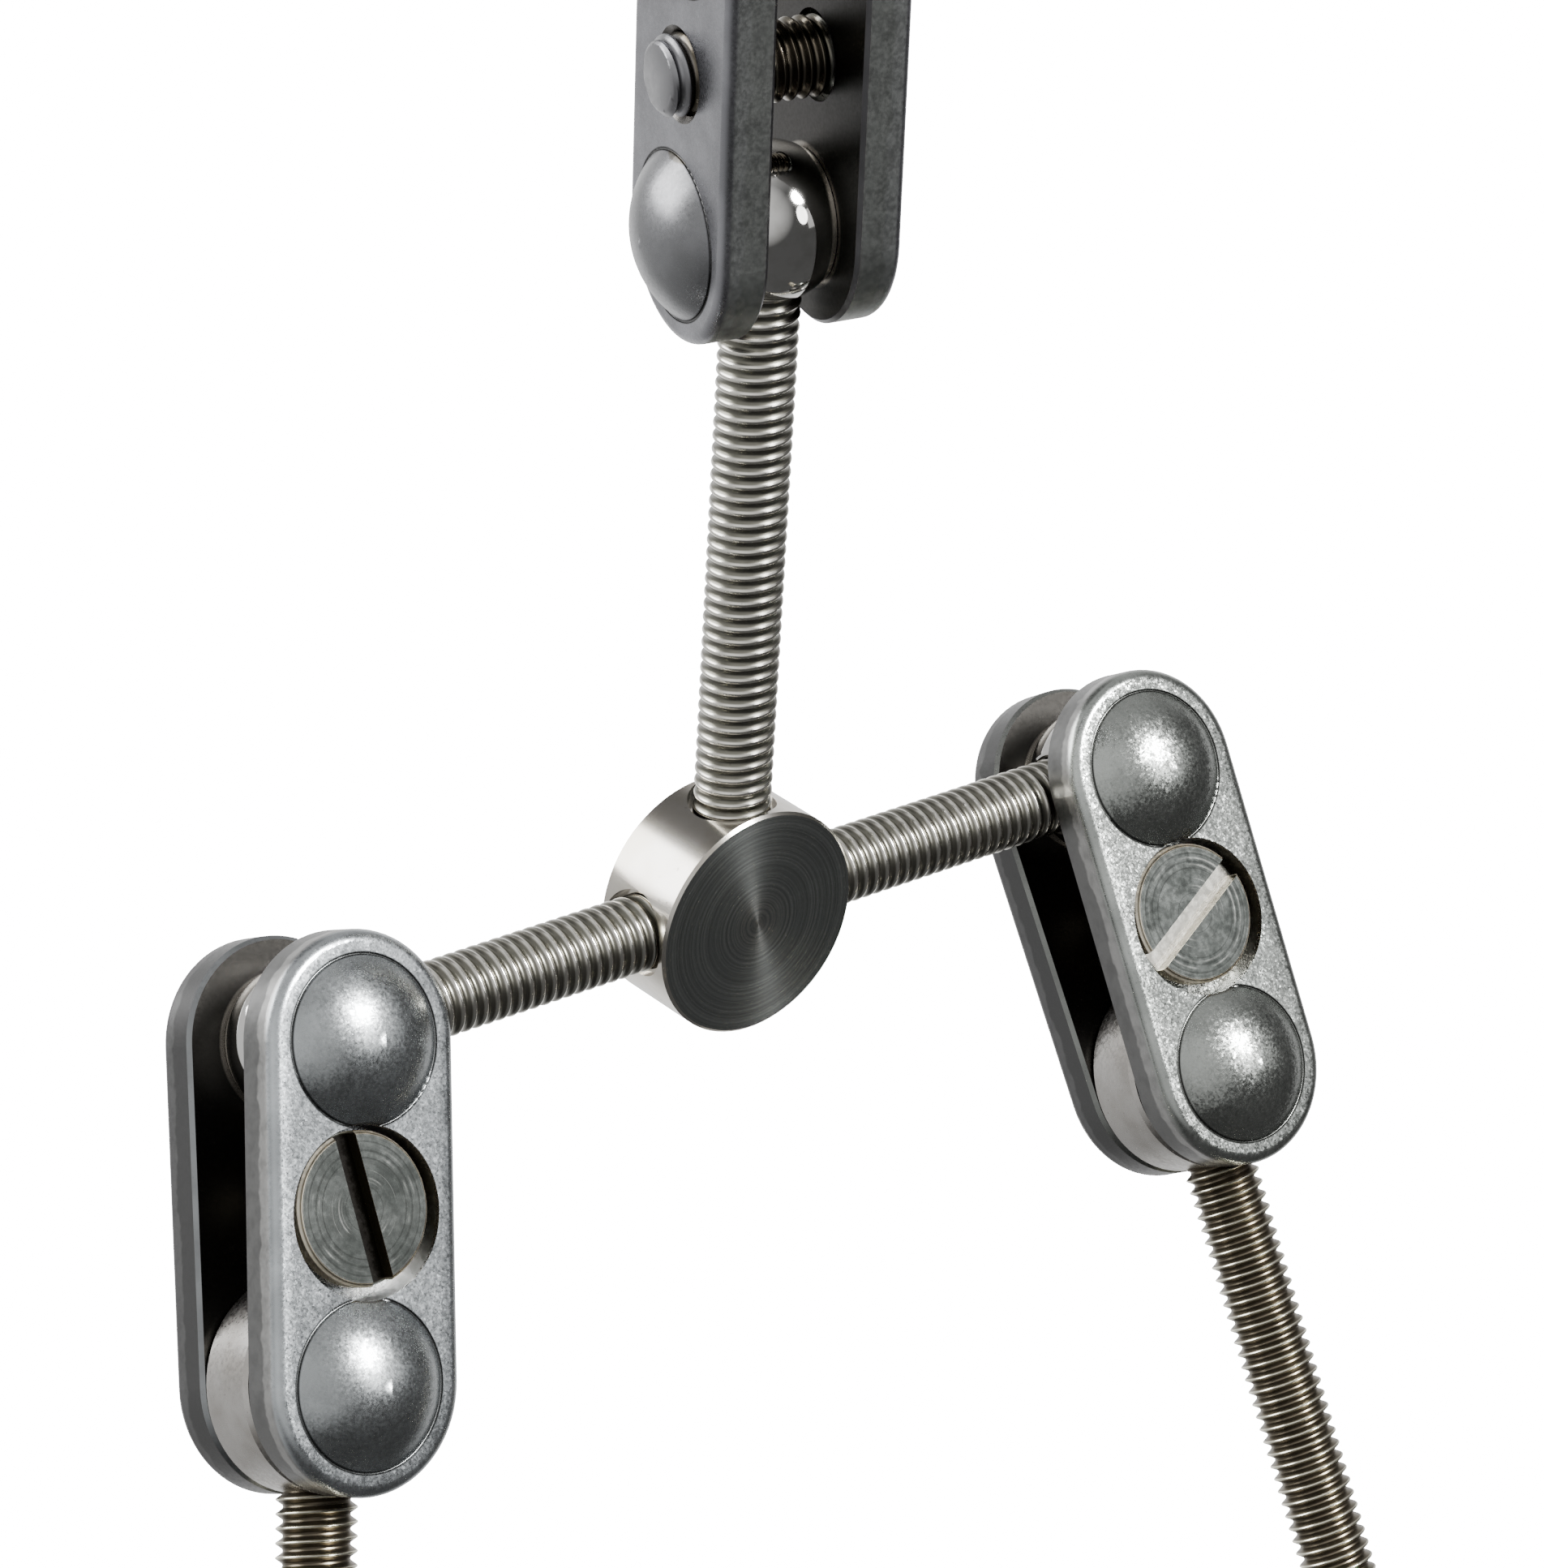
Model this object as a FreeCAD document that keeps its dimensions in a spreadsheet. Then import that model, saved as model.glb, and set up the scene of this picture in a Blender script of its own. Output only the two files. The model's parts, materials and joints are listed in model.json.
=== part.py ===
import FreeCAD, Part
import math
import os
import Sketcher
from FreeCAD import Placement, Rotation, Vector

# Hip module of a ball-jointed armature. A round hub carries three M4 rods; each rod ends in a
# ball that is gripped between two plates drawn together by one slotted screw. The hip joints
# hold a swivelling knuckle with a leg rod at their far end, the spine joint a second ball and rod.
# Frame: the origin is the centre of the hub's front face, -Y leaves that face, +Z is up the spine.

DIMENSIONS = (
    ("hub_radius", 6.1),
    ("hub_thickness", 5.2),
    ("hub_edge", 0.15),
    ("rod_radius", 2.0),
    ("rod_end_bevel", 0.4),
    ("rod_inner_end", 2.4),
    ("rod_mouth_radius", 2.28),
    ("rod_mouth_depth", 0.7),
    ("hip_ball_reach", 25.88),
    ("spine_ball_reach", 37.17),
    ("ball_radius", 4.0),
    ("ball_flat", 3.3),
    ("ball_flat_edge", 0.12),
    ("ball_bore_depth", 1.6),
    ("rod_stop", 1.5),
    ("running_gap", 0.03),
    ("plate_pitch", 16.4),
    ("plate_end_radius", 5.35),
    ("plate_thickness", 2.5),
    ("plate_gap", 4.6),
    ("hip_splay", 2.6),
    ("spine_splay", 0.0),
    ("plate_outer_edge", 0.6),
    ("plate_inner_edge", 0.2),
    ("dome_height", 1.85),
    ("dome_sphere_radius", 5.5),
    ("dome_foot_angle", 35.0),
    ("dome_groove_ring", 4.16),
    ("dome_groove_radius", 0.08),
    ("socket_radius", 4.03),
    ("screw_clear_radius", 2.25),
    ("counterbore_radius", 4.2),
    ("counterbore_depth", 1.9),
    ("tap_mouth_radius", 2.35),
    ("tap_mouth_depth", 0.35),
    ("screw_radius", 2.0),
    ("screw_tip", 1.1),
    ("screw_tip_bevel", 0.4),
    ("screw_head_radius", 3.75),
    ("screw_head_height", 1.5),
    ("screw_seat_gap", 0.02),
    ("screw_head_bevel", 0.2),
    ("screw_slot_width", 1.2),
    ("screw_slot_depth", 0.75),
    ("knuckle_radius", 5.35),
    ("knuckle_half", 1.76),
    ("knuckle_edge", 0.2),
    ("spigot_radius", 1.3),
    ("spigot_start", 1.0),
    ("leg_rod_shoulder", 5.5),
    ("leg_rod_end", 45.0),
    ("upper_rod_shoulder", 5.5),
    ("upper_rod_end", 30.0),
    ("left_twist", -26.7),
    ("left_swing", -14.9),
    ("left_tilt", -3.0),
    ("left_knee", -2.6),
    ("right_twist", -31.9),
    ("right_swing", 0.6),
    ("right_tilt", 2.5),
    ("right_knee", -0.8),
    ("spine_twist", -13.3),
    ("spine_swing", 1.6),
    ("spine_tilt", -2.0),
    ("left_slot_turn", -15.0),
    ("right_slot_turn", 62.0),
    ("spine_slot_turn", 20.0),
)

# Height of a screw head's seat in the tapped plate's frame, from the counterbore's floor in the
# head plate, which leans away from the tapped plate by the splay.
SEAT_FORMULA = ("=(plate_gap / 2 + plate_thickness - counterbore_depth"
                " + (screw_head_radius - plate_pitch / 2) * sin({splay} * 1 deg))"
                " / cos({splay} * 1 deg) + screw_seat_gap")
DERIVED = (
    ("hip_seat", SEAT_FORMULA.format(splay="hip_splay")),
    ("spine_seat", SEAT_FORMULA.format(splay="spine_splay")),
)

ALIASES = {alias for alias, value in DIMENSIONS + DERIVED}
X_AXIS = Vector(1, 0, 0)
Y_AXIS = Vector(0, 1, 0)
Z_AXIS = Vector(0, 0, 1)
UP = Rotation()
ALONG_X = Rotation(Y_AXIS, 90)
DOWN = Rotation(X_AXIS, 180)

doc = FreeCAD.newDocument("ArmatureHip")
sheet = doc.addObject("Spreadsheet::Sheet", "Sizes")
for row, (alias, value) in enumerate(DIMENSIONS + DERIVED, start=1):
    sheet.set(f"A{row}", alias)
    sheet.set(f"B{row}", str(value))
    sheet.setAlias(f"B{row}", alias)
doc.recompute()

parts = []


def size(alias):
    return float(getattr(sheet, alias))


def linked(expression):
    """Spell the sheet's aliases in an expression with the sheet's name in front."""
    words = expression.split()
    return " ".join(f"Sizes.{word}" if word in ALIASES else word for word in words)


def new_body(label):
    body = doc.addObject("PartDesign::Body", label)
    body.Label = label
    parts.append(body)
    return body


def add(body, kind, rotation=UP, at=(None, None, None), **bindings):
    """Add a primitive; its sizes and its position are bound to the sheet."""
    feature = body.newObject(f"PartDesign::{kind}", f"{body.Label}_{kind}")
    feature.Placement = Placement(Vector(), rotation)
    for axis, expression in zip("xyz", at):
        if expression is not None:
            feature.setExpression(f"Placement.Base.{axis}", linked(expression))
    for name, expression in bindings.items():
        feature.setExpression(name, linked(expression))
    doc.recompute()
    return feature


def edge_names(shape, wanted):
    return [f"Edge{i}" for i, edge in enumerate(shape.Edges, start=1) if wanted(edge)]


def dress(body, kind, wanted, **bindings):
    """Round or bevel the edges of the body's tip that pass the test."""
    base = body.Tip
    feature = body.newObject(f"PartDesign::{kind}", f"{body.Label}_{kind}")
    feature.Base = (base, edge_names(base.Shape, wanted))
    for name, expression in bindings.items():
        feature.setExpression(name, linked(expression))
    base.Visibility = False
    doc.recompute()
    return feature


def is_circle(edge):
    return not edge.Degenerated and isinstance(edge.Curve, Part.Circle)


def at_height(z):
    """A test for edges that lie flat at height z."""
    def test(edge):
        box = edge.BoundBox
        return abs(box.ZMin - z) < 1e-4 and abs(box.ZMax - z) < 1e-4
    return test


def circle_at(z, radius):
    """A test for full circles of one radius at height z."""
    flat = at_height(z)

    def test(edge):
        return flat(edge) and is_circle(edge) and abs(edge.Curve.Radius - radius) < 1e-4
    return test


def origin_plane(body, role):
    return next(item for item in body.Origin.OriginFeatures if item.Role == role)


# --- hub and rods -------------------------------------------------------------------------

def make_hub():
    """Turned disc with its axis on the body's own Z, drilled from three sides."""
    hub = new_body("hub")
    add(hub, "AdditiveCylinder", Radius="hub_radius", Height="hub_thickness")
    dress(hub, "Chamfer", is_circle, Size="hub_edge")
    middle = "hub_thickness / 2"
    towards_rods = (ALONG_X, Rotation(Y_AXIS, -90), Rotation(X_AXIS, -90))
    for rotation, side in zip(towards_rods, ((1, 0), (-1, 0), (0, 1))):
        bore_at = (f"{side[0]} * rod_inner_end", f"{side[1]} * rod_inner_end", middle)
        add(hub, "SubtractiveCylinder", rotation, bore_at, Radius="rod_radius", Height="hub_radius")
        mouth = "( hub_radius - rod_mouth_depth )"
        mouth_at = (f"{side[0]} * {mouth}", f"{side[1]} * {mouth}", middle)
        add(hub, "SubtractiveCylinder", rotation, mouth_at,
            Radius="rod_mouth_radius", Height="hub_radius")
    hub.Placement = Placement(Vector(0, size("hub_thickness"), 0), Rotation(X_AXIS, 90))


def make_rod(label, start, end):
    """Rod on the body's own Z from start to end, bevelled at both ends."""
    rod = new_body(label)
    add(rod, "AdditiveCylinder", at=(None, None, start),
        Radius="rod_radius", Height=f"{end} - ( {start} )")
    dress(rod, "Chamfer", is_circle, Size="rod_end_bevel")
    return rod


def make_spigot_rod(label, start, shoulder, end):
    """Rod whose lower end is turned down to a spigot that sits in a ball or a knuckle."""
    rod = make_rod(label, shoulder, end)
    add(rod, "AdditiveCylinder", at=(None, None, start),
        Radius="spigot_radius", Height=f"{shoulder} + rod_end_bevel - ( {start} )")
    return rod


def make_hub_rod(label, reach, rotation):
    rod = make_rod(label, "rod_inner_end", f"{reach} + rod_stop")
    rod.Placement = Placement(hub_centre, rotation)


# --- ball ---------------------------------------------------------------------------------

def make_ball(label, bore, centre, rotation):
    """Ball with a flat and a blind bore that face the body's own +Z, where its rod enters."""
    ball = new_body(label)
    add(ball, "AdditiveSphere", Radius="ball_radius")
    add(ball, "SubtractiveBox", at=("-1 * ball_radius", "-1 * ball_radius", "ball_flat"),
        Length="2 * ball_radius", Width="2 * ball_radius", Height="ball_radius")
    add(ball, "SubtractiveCylinder", at=(None, None, "-1 * ball_bore_depth"),
        Radius=f"{bore} + running_gap", Height="2 * ball_radius")
    bore_radius = size(bore) + size("running_gap")
    dress(ball, "Chamfer", circle_at(size("ball_flat"), bore_radius), Size="ball_flat_edge")
    ball.Placement = Placement(centre, rotation)


# --- joint plates -------------------------------------------------------------------------

def stadium_sketch(body):
    """Closed outline of two half circles about the two ball centres and two straight sides."""
    sketch = body.newObject("Sketcher::SketchObject", f"{body.Label}_outline")
    sketch.AttachmentSupport = (origin_plane(body, "XY_Plane"), [""])
    sketch.MapMode = "FlatFace"
    sketch.setExpression("AttachmentOffset.Base.z", linked("plate_gap / 2"))
    pitch = size("plate_pitch")
    radius = size("plate_end_radius")
    quarter = math.pi / 2
    near_circle = Part.Circle(Vector(0, 0, 0), Z_AXIS, radius)
    far_circle = Part.Circle(Vector(pitch, 0, 0), Z_AXIS, radius)
    near = sketch.addGeometry(Part.ArcOfCircle(near_circle, quarter, 3 * quarter))
    far = sketch.addGeometry(Part.ArcOfCircle(far_circle, -quarter, quarter))
    low = sketch.addGeometry(Part.LineSegment(Vector(0, -radius, 0), Vector(pitch, -radius, 0)))
    high = sketch.addGeometry(Part.LineSegment(Vector(pitch, radius, 0), Vector(0, radius, 0)))
    rules = (
        ("Tangent", near, 2, low, 1),
        ("Tangent", low, 2, far, 1),
        ("Tangent", far, 2, high, 1),
        ("Tangent", high, 2, near, 1),
        ("Coincident", near, 3, -1, 1),
        ("PointOnObject", far, 3, -1),
        ("Equal", near, far),
    )
    for rule in rules:
        sketch.addConstraint(Sketcher.Constraint(*rule))
    end_radius = sketch.addConstraint(Sketcher.Constraint("Radius", near, radius))
    sketch.renameConstraint(end_radius, "end_radius")
    between = sketch.addConstraint(Sketcher.Constraint("DistanceX", near, 3, far, 3, pitch))
    sketch.renameConstraint(between, "pitch")
    sketch.setExpression("Constraints.end_radius", linked("plate_end_radius"))
    sketch.setExpression("Constraints.pitch", linked("plate_pitch"))
    doc.recompute()
    return sketch


def make_plate(label, tapped, placement):
    """Plate above the body's own XY plane: ball centres at X = 0 and X = pitch, outside +Z."""
    plate = new_body(label)
    outline = stadium_sketch(plate)
    pad = plate.newObject("PartDesign::Pad", f"{label}_pad")
    pad.Profile = outline
    pad.setExpression("Length", linked("plate_thickness"))
    outline.Visibility = False
    doc.recompute()
    inside = size("plate_gap") / 2
    outside = inside + size("plate_thickness")
    dress(plate, "Fillet", at_height(outside), Radius="plate_outer_edge")
    dress(plate, "Chamfer", at_height(inside), Size="plate_inner_edge")
    face = "plate_gap / 2 + plate_thickness"
    for along in ("0 * plate_pitch", "plate_pitch"):
        add(plate, "AdditiveSphere", at=(along, None, f"{face} + dome_height - dome_sphere_radius"),
            Radius="dome_sphere_radius", Angle1="dome_foot_angle")
        add(plate, "SubtractiveTorus", at=(along, None, face),
            Radius1="dome_groove_ring", Radius2="dome_groove_radius")
        add(plate, "SubtractiveSphere", at=(along, None, None), Radius="socket_radius")
    middle = "plate_pitch / 2"
    if tapped:
        add(plate, "SubtractiveCylinder", at=(middle, None, None),
            Radius="screw_radius + running_gap", Height="2 * plate_gap")
        add(plate, "SubtractiveCone", at=(middle, None, f"{face} - tap_mouth_depth"),
            Radius1="screw_radius", Radius2="tap_mouth_radius", Height="tap_mouth_depth")
    else:
        add(plate, "SubtractiveCylinder", at=(middle, None, None),
            Radius="screw_clear_radius", Height="2 * plate_gap")
        add(plate, "SubtractiveCylinder", at=(middle, None, f"{face} - counterbore_depth"),
            Radius="counterbore_radius", Height="2 * counterbore_depth")
    plate.Placement = placement


def make_screw(label, placement, seat, slot_turn):
    """Slotted screw in the tapped plate's frame: thread towards +Z, head towards -Z."""
    screw = new_body(label)
    middle = "plate_pitch / 2"
    tip = "plate_gap / 2 + plate_thickness + screw_tip"
    add(screw, "AdditiveCylinder", at=(middle, None, f"-1 * {seat}"),
        Radius="screw_radius", Height=f"{tip} + {seat}")
    tip_height = size("plate_gap") / 2 + size("plate_thickness") + size("screw_tip")
    dress(screw, "Chamfer", at_height(tip_height), Size="screw_tip_bevel")
    top = f"-1 * ( {seat} + screw_head_height )"
    add(screw, "AdditiveCylinder", at=(middle, None, top),
        Radius="screw_head_radius", Height="screw_head_height")
    top_height = -(size(seat) + size("screw_head_height"))
    dress(screw, "Chamfer", at_height(top_height), Size="screw_head_bevel")
    turn = Rotation(Z_AXIS, slot_turn)
    corner = turn.multVec(Vector(-5, -size("screw_slot_width") / 2, 0))
    slot = add(screw, "SubtractiveBox", turn,
               (f"{middle} + {corner.x}", f"{corner.y} * 1", top),
               Width="screw_slot_width", Height="screw_slot_depth")
    slot.Length = 10
    doc.recompute()
    screw.Placement = placement


# --- knuckle ------------------------------------------------------------------------------

def make_knuckle(label, placement):
    """Barrel on the body's own Z with a half ball on each side and a bore towards +X."""
    knuckle = new_body(label)
    add(knuckle, "AdditiveCylinder", at=(None, None, "-1 * knuckle_half"),
        Radius="knuckle_radius", Height="2 * knuckle_half")
    dress(knuckle, "Chamfer", is_circle, Size="knuckle_edge")
    for rotation, sign in ((UP, "-1"), (DOWN, "1")):
        sink = f"{sign} * plate_pitch * sin( hip_splay * 0.5 deg )"
        add(knuckle, "AdditiveSphere", rotation, (None, None, sink),
            Radius="ball_radius", Angle1="0 * knuckle_half")
    add(knuckle, "SubtractiveCylinder", ALONG_X, ("spigot_start", None, None),
        Radius="spigot_radius", Height="knuckle_radius")
    knuckle.Placement = placement


# --- layout -------------------------------------------------------------------------------

def joint_frame(centre, rod_axis, head_side, reach, name):
    """Frame of a joint: its origin at the ball, Z out of the head plate, X to the far centre."""
    twist = Rotation(rod_axis, size(f"{name}_twist"))
    normal = twist.multVec(head_side)
    along = Rotation(normal, size(f"{name}_swing")).multVec(twist.multVec(reach))
    lean = Rotation(rod_axis.cross(normal), size(f"{name}_tilt"))
    normal = lean.multVec(normal)
    along = lean.multVec(along)
    return Placement(centre, Rotation(along, Vector(), normal, "ZXY"))


def make_plate_pair(name, frame, kind):
    """Two plates and their screw; the splay opens the gap towards the ball."""
    splay = Rotation(Y_AXIS, size(f"{kind}_splay") / 2)
    head = frame.multiply(Placement(Vector(), splay))
    tapped = frame.multiply(Placement(Vector(), DOWN.multiply(splay)))
    make_plate(f"{name}_head_plate", False, head)
    make_plate(f"{name}_tapped_plate", True, tapped)
    make_screw(f"{name}_screw", tapped, f"{kind}_seat", size(f"{name}_slot_turn"))


def far_centre(frame, kind):
    shift = size("plate_pitch") * math.cos(math.radians(size(f"{kind}_splay") / 2))
    return frame.multiply(Placement(X_AXIS * shift, Rotation()))


hub_centre = Vector(0, size("hub_thickness") / 2, 0)

make_hub()
make_hub_rod("top_rod", "spine_ball_reach", UP)
make_hub_rod("left_rod", "hip_ball_reach", Rotation(Y_AXIS, -90))
make_hub_rod("right_rod", "hip_ball_reach", ALONG_X)

for name, side in (("left", -1), ("right", 1)):
    centre = hub_centre + X_AXIS * side * size("hip_ball_reach")
    frame = joint_frame(centre, X_AXIS, -Y_AXIS, -Z_AXIS, name)
    make_ball(f"{name}_ball", "rod_radius", centre, Rotation(Y_AXIS, -90 * side))
    make_plate_pair(name, frame, "hip")
    knee_frame = far_centre(frame, "hip")
    knee = knee_frame.multiply(Placement(Vector(), Rotation(Z_AXIS, size(f"{name}_knee"))))
    make_knuckle(f"{name}_knuckle", knee)
    leg_rod = make_spigot_rod(f"{name}_leg_rod", "spigot_start", "leg_rod_shoulder", "leg_rod_end")
    leg_rod.Placement = knee.multiply(Placement(Vector(), ALONG_X))

spine_centre = hub_centre + Z_AXIS * size("spine_ball_reach")
spine_frame = joint_frame(spine_centre, Z_AXIS, X_AXIS, Z_AXIS, "spine")
upper = Placement(far_centre(spine_frame, "spine").Base, UP)
make_ball("spine_lower_ball", "rod_radius", spine_centre, DOWN)
make_plate_pair("spine", spine_frame, "spine")
make_ball("spine_upper_ball", "spigot_radius", upper.Base, UP)
upper_rod = make_spigot_rod("spine_upper_rod", "-1 * rod_stop", "upper_rod_shoulder",
                            "upper_rod_end")
upper_rod.Placement = upper

# --- export -------------------------------------------------------------------------------

doc.recompute()
broken = [item.Name for item in doc.Objects if "Invalid" in item.State or "Error" in item.State]
if broken:
    raise RuntimeError(f"features in error: {broken}")

os.makedirs("parts", exist_ok=True)
for body in parts:
    if body.Shape.isNull() or not body.Shape.isValid():
        raise RuntimeError(f"{body.Label} has no valid shape")
    body.Shape.exportStep(f"parts/{body.Label}.step")
    print(body.Label, len(body.Shape.Solids), round(body.Shape.Volume, 1))
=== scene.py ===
import bmesh
import bpy
import json
import math
from mathutils import Matrix, Quaternion, Vector


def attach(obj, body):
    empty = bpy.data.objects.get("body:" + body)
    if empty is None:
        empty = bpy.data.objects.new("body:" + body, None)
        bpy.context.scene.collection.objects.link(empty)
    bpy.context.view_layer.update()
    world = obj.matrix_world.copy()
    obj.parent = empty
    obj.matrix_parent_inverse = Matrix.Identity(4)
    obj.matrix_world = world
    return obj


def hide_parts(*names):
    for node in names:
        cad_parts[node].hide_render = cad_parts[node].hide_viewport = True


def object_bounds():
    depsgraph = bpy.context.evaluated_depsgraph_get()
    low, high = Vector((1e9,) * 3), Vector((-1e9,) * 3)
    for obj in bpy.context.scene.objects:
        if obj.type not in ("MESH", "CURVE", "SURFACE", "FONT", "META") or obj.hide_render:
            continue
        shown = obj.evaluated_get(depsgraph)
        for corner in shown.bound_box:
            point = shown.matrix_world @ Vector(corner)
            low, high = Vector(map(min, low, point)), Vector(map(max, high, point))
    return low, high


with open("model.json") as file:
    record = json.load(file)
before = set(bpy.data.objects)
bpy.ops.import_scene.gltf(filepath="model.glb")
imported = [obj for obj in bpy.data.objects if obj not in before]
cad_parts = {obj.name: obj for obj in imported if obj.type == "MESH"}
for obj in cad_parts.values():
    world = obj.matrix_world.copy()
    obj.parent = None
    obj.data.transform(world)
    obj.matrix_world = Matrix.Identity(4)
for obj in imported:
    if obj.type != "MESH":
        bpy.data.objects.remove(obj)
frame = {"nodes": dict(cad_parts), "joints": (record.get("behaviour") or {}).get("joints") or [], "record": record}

# Hip module of a ball-jointed armature: threaded rods, chromed balls and domed steel plates.
# Everything is in metres in the part's own frame; MM turns millimetres into metres.

MM = 0.001
X_AXIS = Vector((1, 0, 0))
Y_AXIS = Vector((0, 1, 0))
Z_AXIS = Vector((0, 0, 1))

# Threads
THREAD_PITCH = 0.7 * MM
THREAD_RADIUS = 2.0 * MM
THREAD_STEPS = 72                    # corners round one turn
THREAD_CLEARANCE = 0.01 * MM         # keeps the crests inside the CAD cylinder
THREAD_WELD = 0.0005 * MM            # vertices nearer than this become one
END_BEVEL = 0.4 * MM
CORE_DROP = 0.08 * MM                # how far the closed ends lie inside the bevel

# Rods, each measured from the point that it is built from
HUB_THICKNESS = 5.2 * MM
ROD_INNER_END = 2.4 * MM             # from the hub's centre
ROD_STOP = 1.5 * MM                  # how far a rod reaches past a ball's centre
KNUCKLE_SEAT = 4.95 * MM             # the leg rod's start, from the knuckle's centre
LEG_ROD_END = 45.0 * MM
UPPER_ROD_END = 30.0 * MM

# Plates, with heights measured from the joint's middle plane
PLATE_PITCH = 16.4 * MM
PLATE_FACE = 4.8 * MM                # the outer face
PLATE_INNER = 2.3 * MM               # the inner face
PLATE_HALF_WIDTH = 5.35 * MM
SHEAR_LINE = 3.72 * MM               # where a side's sheared band meets its smooth one
DOME_RADIUS = 4.16 * MM              # of the fine groove round each dome
SOCKET_RADIUS = 4.15 * MM
COUNTERBORE_RADIUS = 4.2 * MM
HIP_LEAN = math.radians(1.3)         # of each hip plate, wider at the ball

# Balls, in mm
BALL_RADIUS = 4.0
BALL_FLAT = 3.3                      # the flat's distance from the centre
BALL_BORE = 2.03
BORE_FLOOR = -1.6
BORE_CHAMFER = 0.12
FLAT_EASE = 0.05                     # gap between the flat's corner and the sphere
BALL_STEPS = 72
BALL_SEGMENTS = 128
BALL_SHARP_ANGLE = 20                # degrees

# Screws, with heights along the axis towards the head
SCREW_TIP = 5.9 * MM
SCREW_HEAD_BASE = 3.4 * MM           # everything higher is head
SCREW_HEAD_RADIUS = 3.75 * MM
SCREW_SEAT_OVERLAP = 0.2 * MM        # the thread goes this far up into the head

FLOOR_GLOW = 16.0                    # strength of the pale floor and backdrop
FLOOR_DROP = 0.2 * MM                # how far the floor lies below the part
FLOOR_REACH = 3.0

CAD_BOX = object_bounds()
joints = {joint["name"]: joint for joint in frame["joints"]}
mounts = {mount["name"]: mount for mount in frame["record"]["mounts"]}
hub_centre = Y_AXIS * HUB_THICKNESS / 2


def joint_point(name):
    return Vector(joints[name]["pos_m"])


def joint_axis(name):
    return Vector(joints[name]["axis"]).normalized()


# --- node helpers -------------------------------------------------------------------------

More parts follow.
